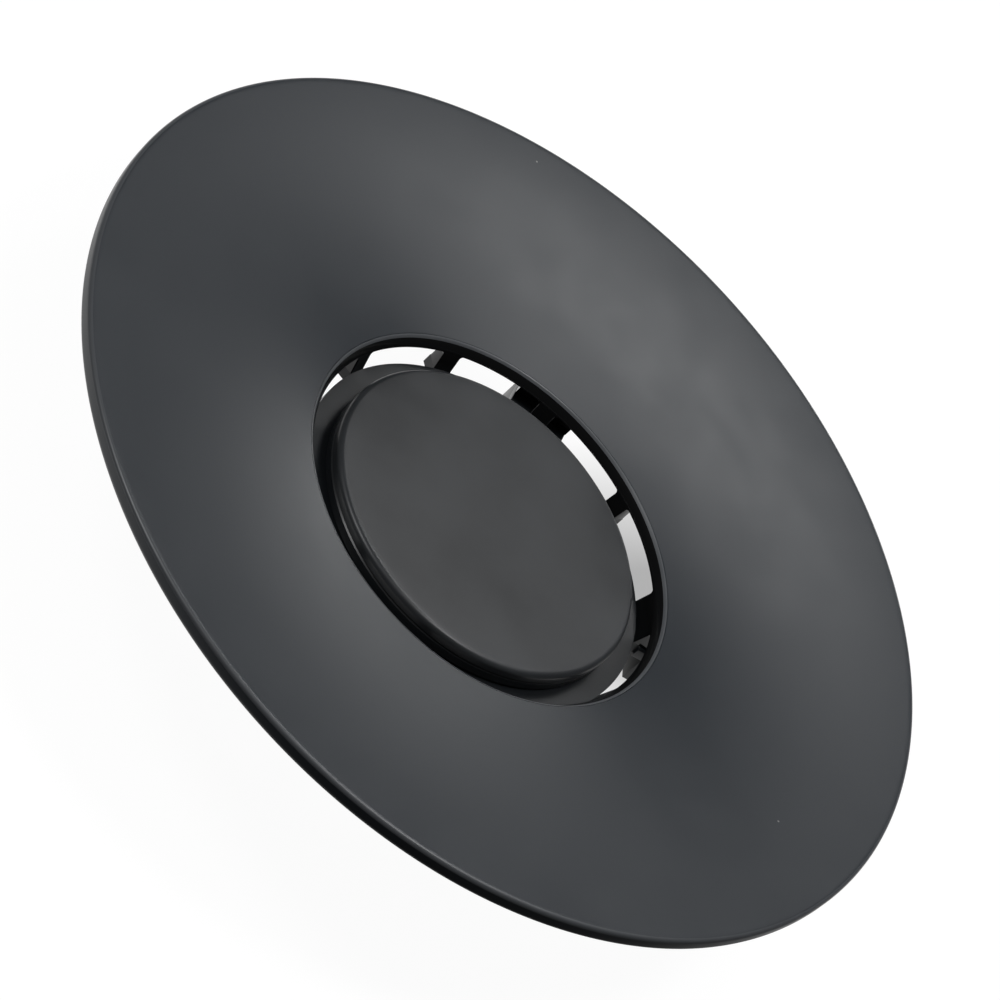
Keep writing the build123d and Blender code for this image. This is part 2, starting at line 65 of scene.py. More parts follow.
view_back = Vector(
    (
        sin(view_azimuth) * cos(view_elevation),
        -cos(view_azimuth) * cos(view_elevation),
        sin(view_elevation),
    )
)
camera = bpy.data.objects.new("camera", bpy.data.cameras.new("camera"))
camera.location = Vector((0, 0, view_height)) + view_back * view_distance
camera.rotation_mode = "QUATERNION"
camera.rotation_quaternion = view_back.to_track_quat("Z", "Y") @ Quaternion((0, 0, 1), view_roll)
camera.data.sensor_width = sensor_width
camera.data.lens = focal_pixels / frame_pixels * sensor_width
camera.data.shift_x = 0.5 - rim_centre_pixel[0] / frame_pixels
camera.data.shift_y = rim_centre_pixel[1] / frame_pixels - 0.5
camera.data.clip_start = view_clip
scene.collection.objects.link(camera)
scene.camera = camera

# Floor
# A plain white sheet under the fitting, which keeps its shadow. The eye sees it near white, with a painted
# shadow, a grey shade in its glow under the plate's far right side. So does the gloss, but the part in front
# of the fitting falls off to dark there, a painted shadow too.
floor_half_width = 4.0
floor_grey = 0.07
floor_glow = 0.96
floor_bright_side = radians(100)
floor_painted_shadow_depth = -120 * mm
floor_bright_depth = -30 * mm
# Painted shadow: the glow is dimmed by this share round shade_middle, under the plate's far right side.
floor_shade = 0.55
shade_middle = (66 * mm, 34 * mm, 0)
shade_core = 12 * mm
shade_reach = 46 * mm


def new_material(name):
    """A material with no nodes yet, and its node tree."""
    material = bpy.data.materials.new(name)
    material.use_nodes = True
    material.node_tree.nodes.clear()
    return material, material.node_tree


def add(tree, kind, inputs=(), **settings):
    """A shader node with some settings, and a plain value or another node's output on some of its inputs."""
    node = tree.nodes.new("ShaderNode" + kind)
    for setting, value in settings.items():
        setattr(node, setting, value)
    for socket, value in dict(inputs).items():
        if isinstance(value, bpy.types.NodeSocket):
            tree.links.new(value, node.inputs[socket])
        else:
            node.inputs[socket].default_value = value
    return node


def reckon(tree, operation, *values):
    """What a maths node makes of plain values and other nodes' outputs."""
    return add(tree, "Math", dict(enumerate(values)), operation=operation).outputs[0]


floor_mesh = bpy.data.meshes.new("floor")
floor_corners = np.array([[-1, -1, 0], [1, -1, 0], [1, 1, 0], [-1, 1, 0]]) * floor_half_width
floor_mesh.from_pydata(floor_corners.tolist(), [], [(0, 1, 2, 3)])
floor = bpy.data.objects.new("floor", floor_mesh)
scene.collection.objects.link(floor)

floor_white, tree = new_material("floor_white")
ray = add(tree, "LightPath").outputs
place = add(tree, "TexCoord").outputs["Object"]
bright_way = (cos(floor_bright_side), sin(floor_bright_side), 0)
depth = add(tree, "VectorMath", {0: place, 1: bright_way}, operation="DOT_PRODUCT").outputs["Value"]
# Painted shadow in the gloss: the glow that gloss sees falls off to dark in front of the fitting.
gloss_painted_shadow_ramp = add(
    tree, "MapRange", {"Value": depth, "From Min": floor_painted_shadow_depth, "From Max": floor_bright_depth}
).outputs[0]
in_gloss = reckon(tree, "MULTIPLY", ray["Is Glossy Ray"], gloss_painted_shadow_ramp)
seen = reckon(tree, "MAXIMUM", ray["Is Camera Ray"], in_gloss)
seen_through = reckon(tree, "MAXIMUM", seen, ray["Is Transmission Ray"])
from_shade = add(tree, "VectorMath", {0: place, 1: shade_middle}, operation="DISTANCE").outputs["Value"]
# Painted shadow: the glow is dimmed round shade_middle, under the plate's far right side.
glow = add(
    tree,
    "MapRange",
    {
        "Value": from_shade,
        "From Min": shade_core,
        "From Max": shade_reach,
        "To Min": floor_glow * (1 - floor_shade),
        "To Max": floor_glow,
    },
).outputs[0]
emission = add(tree, "Emission", {"Strength": reckon(tree, "MULTIPLY", glow, seen_through)})
diffuse = add(tree, "BsdfDiffuse", {"Color": (floor_grey, floor_grey, floor_grey, 1)})
both = add(tree, "AddShader", {0: emission.outputs[0], 1: diffuse.outputs[0]})
add(tree, "OutputMaterial", {"Surface": both.outputs[0]})
floor_mesh.materials.append(floor_white)

# Light
# Softboxes high on the right and half way up on the left light the dish, and those beyond it are mirrored
# in its satin face and in the cap. One above the camera draws the edges, and a dim fill comes from all round.
fill_level = 0.03
lamp_distance = 0.9
plate_low, plate_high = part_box("dish_plate")
rim_height = plate_high.z
world = bpy.data.worlds.new("fill")
world.use_nodes = True
fill = world.node_tree.nodes["Background"].inputs
fill["Color"].default_value = (1, 1, 1, 1)
fill["Strength"].default_value = fill_level
scene.world = world


def softbox(name, turn, rise, size, power):
    """A round lamp that faces the dish's middle, turned to the right of the line of sight and raised, in
    degrees: it stands at lamp_distance along (sin a cos r, -cos a cos r, sin r)."""
    azimuth = view_azimuth + radians(180 - turn)
    level = cos(radians(rise))
    toward = Vector((sin(azimuth) * level, -cos(azimuth) * level, sin(radians(rise))))
    lamp = bpy.data.lights.new(name, "AREA")
    lamp.shape = "DISK"
    lamp.size = size
    lamp.energy = power
    stand = bpy.data.objects.new(name, lamp)
    stand.location = Vector((0, 0, rim_height)) + toward * lamp_distance
    stand.rotation_mode = "QUATERNION"
    stand.rotation_quaternion = toward.to_track_quat("Z", "Y")
    scene.collection.objects.link(stand)


softbox("key_softbox", turn=90, rise=74, size=0.22, power=3.0)
softbox("far_softbox", turn=0, rise=54, size=0.22, power=1.45)
softbox("right_softbox", turn=30, rise=63, size=0.22, power=0.7)
softbox("left_softbox", turn=-122, rise=46, size=0.25, power=2.7)
softbox("near_softbox", turn=180, rise=66, size=0.5, power=0.5)
softbox("low_right_softbox", turn=8, rise=3, size=0.22, power=0.42)
softbox("raised_right_softbox", turn=8, rise=12, size=0.22, power=0.40)
softbox("raised_left_softbox", turn=-8, rise=12, size=0.22, power=0.28)

# Dish plate
# One wide moulding in black plastic with a fine satin texture: a bell-mouthed dish with a thick rounded
# rim, and below it the ring that drops into the sink outlet, with gussets and four screw bosses.
weld_distance = 1e-7
sharp_edge = radians(32)
plate_radius = plate_high.x
rim_slope = radians(7.5)
dish_depth = 11.25 * mm
well_radius = 43.7 * mm
rim_flat = 1.0 * mm
rim_top_round = 0.9 * mm
rim_under_round = 1.6 * mm
rim_thickness = 3.95 * mm
plate_wall = 3.0 * mm
lip_thickness = 1.1 * mm

dish_start = plate_radius - rim_flat
dish_run = dish_start - well_radius
well_slope = 2 * atan2(dish_depth, dish_run) - rim_slope
dish_arc = dish_run / (sin(well_slope) - sin(rim_slope))
arc_centre = (dish_start + dish_arc * sin(rim_slope), rim_height - dish_arc * cos(rim_slope))
plate_inner_height = rim_height - dish_depth
rim_under = rim_height - rim_thickness
lip_under = plate_inner_height - lip_thickness


def full_turn(count):
    """Even angles round a full turn."""
    return np.linspace(0, 2 * pi, count, endpoint=False)


even_turn = full_turn(384)


def dish_height(radius, below=0.0):
    """Height of the dish's face at a radius, or of a face parallel below it: a circle about arc_centre."""
    return arc_centre[1] + np.sqrt((dish_arc - below) ** 2 - (arc_centre[0] - radius) ** 2)


def dish_under_radius(height):
    """Radius at which the dish's under face has a height."""
    return arc_centre[0] - sqrt((dish_arc - plate_wall) ** 2 - (height - arc_centre[1]) ** 2)


def dish_points(start_radius, end_radius, below, count):
    """Points of the dish's section between two radii, as corners without rounding."""
    radii = np.linspace(start_radius, end_radius, count)
    return np.column_stack([radii, dish_height(radii, below), np.zeros(count)]).tolist()


def rounded_loop(corners, step=radians(7)):
    """A closed loop from corners (across, up, rounding): each rounded corner becomes an arc that is tangent
    to its two sides, with its centre on the corner's bisector."""
    points = []
    for index, (across, up, rounding) in enumerate(corners):
        corner = np.array([across, up])
        if rounding == 0:
            points.append(corner)
            continue
        back_side = np.array(corners[index - 1][:2]) - corner
        next_side = np.array(corners[(index + 1) % len(corners)][:2]) - corner
        back_side /= np.linalg.norm(back_side)
        next_side /= np.linalg.norm(next_side)
        half = acos(np.clip(back_side @ next_side, -1, 1)) / 2
        middle = (back_side + next_side) / np.linalg.norm(back_side + next_side)
        centre = corner + middle * rounding / sin(half)
        first = corner + back_side * rounding / tan(half) - centre
        last = corner + next_side * rounding / tan(half) - centre
        sweep = pi - 2 * half
        share = np.linspace(0, 1, max(3, ceil(sweep / step) + 1))[:, None]
        arc = (np.sin((1 - share) * sweep) * first + np.sin(share * sweep) * last) / sin(sweep)
        points.extend(centre + arc)
    return np.array(points)


def turned(section, centre=(0.0, 0.0), angles=even_turn):
    """A closed section (radius, height), anticlockwise, turned about a vertical axis: the point at angle a is
    (radius cos a, radius sin a, height). A stack of sections has one for each angle. A side of the section
    that lies on the axis makes no face."""
    sections = np.broadcast_to(section, (len(angles), *np.shape(section)[-2:]))
    radius = sections[..., 0]
    vertices = np.stack(
        [
            centre[0] + radius * np.cos(angles)[:, None],
            centre[1] + radius * np.sin(angles)[:, None],
            sections[..., 1],
        ],
        axis=-1,
    ).reshape(-1, 3)
    corner_count = sections.shape[1]
    along = np.arange(corner_count)
    next_along = np.roll(along, -1)
    off_axis = (radius > 0).any(axis=0)
    has_face = off_axis | off_axis[next_along]
    along, next_along = along[has_face], next_along[has_face]
    turn_start = np.arange(len(angles))[:, None] * corner_count
    next_start = np.roll(turn_start, -1, axis=0)
    quads = np.stack(
        [turn_start + along, next_start + along, next_start + next_along, turn_start + next_along], axis=-1
    ).reshape(-1, 4)
    return vertices, quads, []


def lofted(loops):
    """Closed loops of equal length in a stack, each anticlockwise seen from the last: side quads between
    them, and one flat face at each end."""
    rows, columns = loops.shape[:2]
    along = np.arange(columns)
    next_along = np.roll(along, -1)
    row_start = np.arange(rows - 1)[:, None] * columns
    quads = np.stack(
        [
            row_start + along,
            row_start + next_along,
            row_start + columns + next_along,
            row_start + columns + along,
        ],
        axis=-1,
    ).reshape(-1, 4)
    return loops.reshape(-1, 3), quads, [along[::-1], along + (rows - 1) * columns]


def spun(shell, angle):
    """A shell turned about the fitting's axis by an angle in degrees."""
    vertices, quads, ends = shell
    turn = radians(angle)
    matrix = np.array([[cos(turn), sin(turn), 0], [-sin(turn), cos(turn), 0], [0, 0, 1]])
    return vertices @ matrix, quads, ends


def piece(name, shells, material, body, slot, *nodes):
    """One object from closed shells, with its poles welded, smooth but for its sharp edges, which rides on a
    body in place of CAD nodes."""
    first_corners = np.cumsum([0] + [len(vertices) for vertices, _, _ in shells])
    faces = []
    for (_, quads, ends), first in zip(shells, first_corners):
        faces += (quads + first).tolist()
        faces += [(end + first).tolist() for end in ends]
    mesh = bpy.data.meshes.new(name)
    mesh.from_pydata(np.vstack([vertices for vertices, _, _ in shells]).tolist(), [], faces)
    weld = bmesh.new()
    weld.from_mesh(mesh)
    bmesh.ops.remove_doubles(weld, verts=weld.verts, dist=weld_distance)
    weld.to_mesh(mesh)
    weld.free()
    mesh.shade_smooth()
    mesh.set_sharp_from_angle(angle=sharp_edge)
    mesh.materials.append(material)
    made = bpy.data.objects.new(name, mesh)
    scene.collection.objects.link(made)
    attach(made, body)
    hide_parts(*nodes)


def node_group(name, inputs, outputs):
    """An empty shader node group with its Float or Vector inputs and its number outputs, and the sockets that
    stand for them inside it."""
    group = bpy.data.node_groups.new(name, "ShaderNodeTree")
    for socket, kind in inputs.items():
        group.interface.new_socket(socket, in_out="INPUT", socket_type="NodeSocket" + kind)
    for socket in outputs:
        group.interface.new_socket(socket, in_out="OUTPUT", socket_type="NodeSocketFloat")
    return group, group.nodes.new("NodeGroupInput").outputs, group.nodes.new("NodeGroupOutput").inputs


def varied_roughness(group, inlet, noise):
    """A group's Roughness plus its Spread times the noise, the middle of which is stretched to -1 to 1."""
    stretched = {"Value": noise, "From Min": 0.3, "From Max": 0.7, "To Min": -1.0, "To Max": 1.0}
    swing = add(group, "MapRange", stretched).outputs[0]
    return reckon(group, "MULTIPLY_ADD", swing, inlet["Spread"], inlet["Roughness"])


# Skin of a moulding: fine grain as a height, and broad mottling that varies the roughness
skin_group, inlet, outlet = node_group(
    "moulded_skin",
    {"Grain Scale": "Float", "Mottle Scale": "Float", "Roughness": "Float", "Spread": "Float"},
    ("Height", "Roughness", "Mottle"),
)
place = add(skin_group, "TexCoord").outputs["Object"]
fine = {"Vector": place, "Scale": inlet["Grain Scale"], "Detail": 2.0, "Roughness": 0.6}
broad = {"Vector": place, "Scale": inlet["Mottle Scale"], "Detail": 4.0, "Roughness": 0.55}
grain = add(skin_group, "TexNoise", fine).outputs["Fac"]
mottle = add(skin_group, "TexNoise", broad).outputs["Fac"]
skin_group.links.new(grain, outlet["Height"])
skin_group.links.new(varied_roughness(skin_group, inlet, mottle), outlet["Roughness"])
skin_group.links.new(mottle, outlet["Mottle"])

# Dust: a few pale specks, one in a share of the cells of a Voronoi pattern
dust_scale = 420.0
dust_size = 0.09
dust_colour = (0.22, 0.22, 0.21, 1)
dust_group, inlet, outlet = node_group(
    "dust_specks", {"Scale": "Float", "Size": "Float", "Share": "Float"}, ("Mask",)
)
place = add(dust_group, "TexCoord").outputs["Object"]
cells = add(dust_group, "TexVoronoi", {"Vector": place, "Scale": inlet["Scale"]}).outputs
chance = add(dust_group, "SeparateColor", {0: cells["Color"]}).outputs["Red"]
near = reckon(dust_group, "LESS_THAN", cells["Distance"], inlet["Size"])
chosen = reckon(dust_group, "LESS_THAN", chance, inlet["Share"])
dust_group.links.new(reckon(dust_group, "MULTIPLY", near, chosen), outlet["Mask"])

# Painted highlight: a pale band on the lip of a round piece, where radius and height together pass a start
lip_highlight_width = 0.15 * mm
lip_highlight_colour = (0.066, 0.070, 0.076, 1)
lip_highlight_group, inlet, outlet = node_group("painted_lip_highlight", {"Start": "Float", "End": "Float"}, ("Mask",))
place = add(lip_highlight_group, "TexCoord").outputs["Object"]
upward = add(lip_highlight_group, "SeparateXYZ", {0: place}).outputs["Z"]
level = add(lip_highlight_group, "VectorMath", {0: place, 1: (1, 1, 0)}, operation="MULTIPLY").outputs[0]
outward = add(lip_highlight_group, "VectorMath", {0: level}, operation="LENGTH").outputs["Value"]
reach = reckon(lip_highlight_group, "ADD", outward, upward)
lip_highlight = add(lip_highlight_group, "MapRange", {"Value": reach, "From Min": inlet["Start"], "From Max": inlet["End"]})
lip_highlight_group.links.new(lip_highlight.outputs[0], outlet["Mask"])


def blend(tree, share, first, second):
    """A colour that runs from the first to the second with a share."""
    return add(tree, "Mix", {0: share, 6: first, 7: second}, data_type="RGBA").outputs[2]


def surface(tree, colour, skin, depth, values):
    """The shader of a material, with a colour, the roughness of a skin, its height as a bump of some depth,
    and plain values on some inputs."""
    bump = add(tree, "Bump", {"Strength": 1.0, "Distance": depth, "Height": skin.outputs["Height"]})
    patterns = {"Roughness": skin.outputs["Roughness"], "Normal": bump.outputs["Normal"]}
    shader = add(tree, "BsdfPrincipled", {"Base Color": colour, **patterns, **values})
    add(tree, "OutputMaterial", {"Surface": shader.outputs[0]})


def moulded(
    name,
    dark,
    pale,
    roughness,
    spread,
    grain_scale=2600.0,
    grain_depth=0.002 * mm,
    dust_share=0.004,
    specular=0.35,
    mottle_scale=90.0,
    highlight_from=None,
):
    """A moulded finish, with a satin grain if nothing else is said: its colour runs between two near ones
    with the mottling, the grain is a bump, dust lies on it in places, and it may have a painted highlight, a
    pale band, where radius plus height is more than a length."""
    material, tree = new_material(name)
    scales = {"Grain Scale": grain_scale, "Mottle Scale": mottle_scale}
    skin = add(tree, "Group", {**scales, "Roughness": roughness, "Spread": spread}, node_tree=skin_group)
    colour = blend(tree, skin.outputs["Mottle"], (*dark, 1), (*pale, 1))
    # A painted highlight: the colour turns pale past a length of radius plus height, on the lip.
    if highlight_from:
        lip_highlight = add(tree, "Group", {"Start": highlight_from, "End": highlight_from + lip_highlight_width}, node_tree=lip_highlight_group)
        colour = blend(tree, lip_highlight.outputs["Mask"], colour, lip_highlight_colour)
    specks = {"Scale": dust_scale, "Size": dust_size, "Share": dust_share}
    dust = add(tree, "Group", specks, node_tree=dust_group)
    colour = blend(tree, dust.outputs["Mask"], colour, dust_colour)
    surface(tree, colour, skin, grain_depth, {"Specular IOR Level": specular})
    return material


satin_black = moulded(
    "satin_black",
    dark=(0.0138, 0.0178, 0.0232),
    pale=(0.0164, 0.0208, 0.0266),
    roughness=0.36,
    spread=0.02,
    # The rim's top rounding gets a painted highlight, a pale band.
    highlight_from=plate_radius + rim_height - rim_top_round,
)

slot_top = lip_under - 1.4 * mm
ring_wall = 1.8 * mm
ring_reach = 4.0 * mm
ring_shoulder = 0.9 * mm
ring_radius = 56.269 * mm
ring_inner = ring_radius - ring_wall
ring_under = plate_low.z
shoulder_radius = ring_radius + ring_shoulder
shoulder_under = ring_under + ring_reach
gasket_outer = plate_radius - 3.5 * mm
gasket_inner = gasket_outer - 5.0 * mm
groove_depth = 0.4 * mm
seam_gap = 0.1 * mm
crisp = 0.25 * mm
root_round = 0.5 * mm
past_lip = 1.0 * mm
lip_end = dish_under_radius(lip_under)

plate_section = rounded_loop(
    [(well_radius, lip_under, 0.0), (lip_end, lip_under, 0.0)]
    + dish_points(lip_end + past_lip, ring_inner - root_round, plate_wall, 4)
    + [
        (ring_inner, dish_height(ring_inner, plate_wall), root_round),
        (ring_inner, ring_under, crisp),
        (ring_radius, ring_under, crisp),
        (ring_radius, shoulder_under, crisp),
        (shoulder_radius, shoulder_under, crisp),
        (shoulder_radius, dish_height(shoulder_radius, plate_wall), root_round),
    ]
    + dish_points(shoulder_radius + root_round, dish_under_radius(rim_under), plate_wall, 24)
    + [
        (gasket_inner - seam_gap, rim_under, seam_gap),
        (gasket_inner - seam_gap, rim_under + groove_depth, 0.0),
        (gasket_outer + seam_gap, rim_under + groove_depth, 0.0),
        (gasket_outer + seam_gap, rim_under, seam_gap),
        (plate_radius, rim_under, rim_under_round),
        (plate_radius, rim_height, rim_top_round),
    ]
    + dish_points(dish_start, well_radius + 1.5 * seam_gap, 0.0, 72)
    + [(well_radius, plate_inner_height, seam_gap)]
)

gusset_count = 12
gusset_half = 0.8 * mm
gusset_stop = 10.0 * mm
gusset_toe = 1.2 * mm
gusset_steps = 12
gusset_end = dish_under_radius(rim_under) - gusset_stop
gusset_run = np.linspace(ring_radius, gusset_end, gusset_steps)
gusset_high = dish_height(gusset_run, plate_wall / 2)
gusset_low = np.linspace(shoulder_under, dish_height(gusset_end, plate_wall + gusset_toe), gusset_steps)
gusset_loops = np.stack(
    [
        np.column_stack(
            [
                np.full(4, radius),
                [-gusset_half, gusset_half, gusset_half, -gusset_half],
                [low, low, high, high],
            ]
        )
        for radius, low, high in zip(gusset_run, gusset_low, gusset_high)
    ]
)
gussets = [spun(lofted(gusset_loops), (index + 0.5) * 360 / gusset_count) for index in range(gusset_count)]

slot_pitch = 34
screw_circle = 50.869 * mm
screw_side = 90 - slot_pitch / 2
screw_angles = (0, screw_side, 180, -screw_side)
insert_radius = 2.5 * mm
boss_radius = 3.9 * mm
flange_radius = 47.769 * mm
boss_turn = full_turn(48)
boss_top = dish_height(screw_circle, plate_wall / 2)
boss_section = np.array(
    [(insert_radius, slot_top), (boss_radius, slot_top), (boss_radius, boss_top), (insert_radius, boss_top)]
)
boss_vertices, boss_quads, _ = turned(boss_section, (screw_circle, 0.0), boss_turn)
boss_reach = np.linalg.norm(boss_vertices[:, :2], axis=1)[:, None]
boss_vertices[:, :2] *= np.maximum(1, (flange_radius + seam_gap) / boss_reach)
bosses = [spun((boss_vertices, boss_quads, []), angle) for angle in screw_angles]

piece(
    "dish_plate_moulding",
    [turned(plate_section), *gussets, *bosses],
    satin_black,
    "fitting",
    "satin_black",
    "dish_plate",
)

# Rim gasket
# A rubber ring pressed into the groove under the rim, with its lower edge rounded where it meets the sink.
gasket_round = 0.8 * mm
rubber = moulded(
    "rubber",
    dark=(0.013, 0.013, 0.013),
    pale=(0.022, 0.022, 0.021),
    roughness=0.62,
    spread=0.06,
    grain_scale=1500.0,
    grain_depth=0.02 * mm,
    dust_share=0.02,
    specular=0.5,
)
gasket_under = rim_under - 1.0 * mm
gasket_section = rounded_loop(
    [
        (gasket_inner, gasket_under, gasket_round),
        (gasket_outer, gasket_under, gasket_round),
        (gasket_outer, rim_under + groove_depth, seam_gap),
        (gasket_inner, rim_under + groove_depth, seam_gap),
    ]
)
piece("rim_gasket_ring", [turned(gasket_section)], rubber, "fitting", "rubber", "rim_gasket")

# Strainer collar
# The slotted wall of the well, in gloss black plastic: a rounded mouth with a painted highlight, a pale band
# at its edge, that meets the dish at a fine seam, ribs between ten slots, a flange under the plate's lip, and
# four ears for screws.
gloss_black = moulded(
    "gloss_black",
    dark=(0.0045, 0.0047, 0.0050),
    pale=(0.0060, 0.0062, 0.0065),
    roughness=0.13,
    spread=0.03,
    grain_scale=700.0,
    grain_depth=0.001 * mm,
    dust_share=0.01,
    specular=0.5,
)
collar_taper = radians(15)
collar_wall = 3.6 * mm
mouth_round = 0.6 * mm
lead_taper = radians(34.5)
lead_under = plate_inner_height - 2.0 * mm
slot_corner = 0.8 * mm
floor_top = slot_top - 4.3 * mm
seam_radius = well_radius - seam_gap
mouth_slope = np.linspace(well_slope, pi / 2 - lead_taper, 8)
mouth = np.column_stack(
    [
        seam_radius - mouth_round * (np.sin(mouth_slope) - sin(well_slope)),
        plate_inner_height - mouth_round * (cos(well_slope) - np.cos(mouth_slope)),
    ]
)
lead_end = mouth[-1, 0] - (mouth[-1, 1] - lead_under) * tan(lead_taper)
well_floor_radius = lead_end - (lead_under - floor_top) * tan(collar_taper)
collar_outer = well_floor_radius + collar_wall


def wall_radius(height):
    """Radius of the collar's tapered inner face at a height."""
    return well_floor_radius + (height - floor_top) * tan(collar_taper)


satin_under = plate_inner_height - 0.6 * mm
satin_end = lead_end + (satin_under - lead_under) * tan(lead_taper)
collar_lip = np.vstack([[(satin_end, satin_under), (seam_radius, satin_under)], mouth])
# Painted highlight: the mouth's lip ring is a far paler satin than the dish, a pale band along the mouth's
# edge.
painted_highlight_satin = moulded(
    "painted_highlight_satin",
    dark=(0.074, 0.079, 0.086),
    pale=(0.112, 0.119, 0.127),
    roughness=0.36,
    spread=0.06,
)
piece("strainer_collar_lip", [turned(collar_lip)], painted_highlight_satin, "fitting", "satin_black", "strainer_collar")

collar_ring = np.array(
    [
        (wall_radius(slot_top), slot_top),
        (flange_radius, slot_top),
        (flange_radius, lip_under),
        (seam_radius, lip_under),
        (seam_radius, satin_under),
        (satin_end, satin_under),
        (lead_end, lead_under),
    ]
)

corner_rise = np.sin(np.linspace(0, pi / 2, 7)) * slot_corner
rib_heights = np.concatenate([[floor_top], slot_top - slot_corner + corner_rise])
rib_growth = np.concatenate([[0], slot_corner - np.sqrt(slot_corner**2 - corner_rise**2)])
rib_edge = 0.25 * mm
rib_bury = 0.3 * mm
rib_setback = 0.4 * mm


def rib_loop(inner, half_width, height):
    """One level of a rib, as a ring sector with rounded corners: across is the radius, up is the arc length
    at the collar's outer radius, and (radius, arc) goes to (radius cos a, radius sin a), a = arc / outer."""
    arcs = np.linspace(-half_width, half_width, 9)[1:-1]
    corners = [(inner, -half_width, rib_edge), (collar_outer, -half_width, rib_edge)]
    corners += [(collar_outer, arc, 0.0) for arc in arcs]
    corners += [(collar_outer, half_width, rib_edge), (inner, half_width, rib_edge)]
    corners += [(inner, arc, 0.0) for arc in arcs[::-1]]
    radius, arc = rounded_loop(corners, step=radians(30)).T
    angle = arc / collar_outer
    return np.column_stack([radius * np.cos(angle), radius * np.sin(angle), np.full(len(angle), height)])


def rib(half_angle):
    """A rib on +X: levels from the floor to the slots' ceiling, wider where the slots' corners are rounded,
    and one more inside the ring above."""
    half_widths = collar_outer * (radians(half_angle) + rib_growth / well_floor_radius)
    loops = [
        rib_loop(wall_radius(height), half_width, height)
        for height, half_width in zip(rib_heights, half_widths)
    ]
    inside = slot_top + rib_bury
    loops.append(rib_loop(wall_radius(inside) + rib_setback, half_widths[-1], inside))
    return lofted(np.stack(loops))


narrow_rib_half = 3
wide_rib_half = 90 - 2.5 * slot_pitch + narrow_rib_half
narrow_rib_steps = (-1.5, -0.5, 0.5, 1.5)
narrow_rib_angles = [side * (90 + slot_pitch * step) for side in (1, -1) for step in narrow_rib_steps]
ribs = [spun(rib(narrow_rib_half), angle) for angle in narrow_rib_angles]
ribs += [spun(rib(wide_rib_half), angle) for angle in (0, 180)]

ear_half = 7.0 * mm
ear_corner = 2.5 * mm
ear_reach = screw_circle + 3.3 * mm


def ear_outline(start, inset=0.0):
    """An ear on +X seen from above, from a radius out to its rounded end, or set in a little from that."""
    half, reach = ear_half - inset, ear_reach - inset
    return rounded_loop(
        [(start, -half, 0.0), (reach, -half, ear_corner), (reach, half, ear_corner), (start, half, 0.0)]
    )


def block(outline, low, high, edge):
    """An outline (x, y), anticlockwise, raised from low to high with rounded edges: near each end it moves in
    along its corners' bisectors, (n1 + n2) / (1 + n1 n2), as a quarter circle asks."""
    side = np.roll(outline, -1, axis=0) - outline
    side /= np.linalg.norm(side, axis=1)[:, None]
    inward = np.column_stack([-side[:, 1], side[:, 0]])
    before = np.roll(inward, 1, axis=0)
    bisector = (inward + before) / (1 + (inward * before).sum(axis=1))[:, None]
    quarter = np.linspace(0, pi / 2, 5)
    inset = edge * (1 - np.sin(quarter))
    rise = edge * (1 - np.cos(quarter))
    insets = np.concatenate([inset, inset[::-1]])
    heights = np.concatenate([low + rise, high - rise[::-1]])
    flat = outline + insets[:, None, None] * bisector
    upright = np.broadcast_to(heights[:, None, None], (*flat.shape[:2], 1))
    return lofted(np.concatenate([flat, upright], axis=-1))


collar_ear = block(ear_outline(collar_outer - seam_gap), floor_top, slot_top, crisp)
ears = [spun(collar_ear, angle) for angle in screw_angles]
piece(
    "strainer_collar_ring",
    [turned(collar_ring), *ribs, *ears],
    gloss_black,
    "fitting",
    "gloss_black",
    "strainer_collar",
)

# Throat sleeve
# The floor of the well and the neck below it, one moulding in satin black plastic: two keyways down to a
# ledge, a recess where the lock bar swings, a seat for the baffle, and screw posts under the collar's ears.
floor_under = floor_top - 2.5 * mm
throat_radius = 31.0 * mm
keyway_radius = throat_radius + 3.1 * mm
keyway_half = 6.3 * mm
neck_radius = keyway_radius + 3.3 * mm
neck_chamfer = 0.8 * mm
groove_radius = neck_radius - 1.3 * mm
seal_under = floor_under - 3.0 * mm
seat_radius = throat_radius + 2.4 * mm
seat_top = 6.5 * mm
bar_under = 11.0 * mm
bar_top = 14.4 * mm
bar_clearance = 0.5 * mm
throat_edge = 0.4 * mm
edge_middle = 0.3
post_inset = 0.02 * mm

slot_steps = (-2, -1, 0, 1, 2)
slot_middles = np.radians([side * (90 + slot_pitch * step) for side in (1, -1) for step in slot_steps])
slot_half = radians(slot_pitch / 2 - narrow_rib_half)
hair = 1e-6
slot_sides = np.concatenate([slot_middles - slot_half, slot_middles + slot_half])
keyway_corners = np.arcsin(keyway_half / np.array([keyway_radius, throat_radius]))
keyway_corners = np.concatenate([keyway_corners, -keyway_corners])
throat_turn = np.concatenate(
    [even_turn, slot_sides - hair, slot_sides + hair, keyway_corners, pi + keyway_corners]
)
throat_turn = np.unique(throat_turn % (2 * pi))
away = (throat_turn[:, None] - slot_middles + pi) % (2 * pi) - pi
in_slot = (np.abs(away) < slot_half).any(axis=1)
floor_edge = np.where(in_slot, well_floor_radius, collar_outer)
keyway_side = keyway_half / np.maximum(np.abs(np.sin(throat_turn)), hair)
bore = np.clip(keyway_side, throat_radius, keyway_radius)
throat_corners = [
    (seat_radius, 0.0),
    (neck_radius - neck_chamfer, 0.0),
    (neck_radius, neck_chamfer),
    (neck_radius, seal_under),
    (groove_radius, seal_under),
    (groove_radius, floor_under),
    (floor_edge, floor_under),
    (floor_edge, floor_top),
    (bore + throat_edge, floor_top),
    (bore + edge_middle * throat_edge, floor_top - edge_middle * throat_edge),
    (bore, floor_top - throat_edge),
    (bore, bar_top + bar_clearance),
    (keyway_radius, bar_top + bar_clearance),
    (keyway_radius, bar_under - bar_clearance),
    (throat_radius, bar_under - bar_clearance),
    (throat_radius, seat_top),
    (seat_radius, seat_top),
]


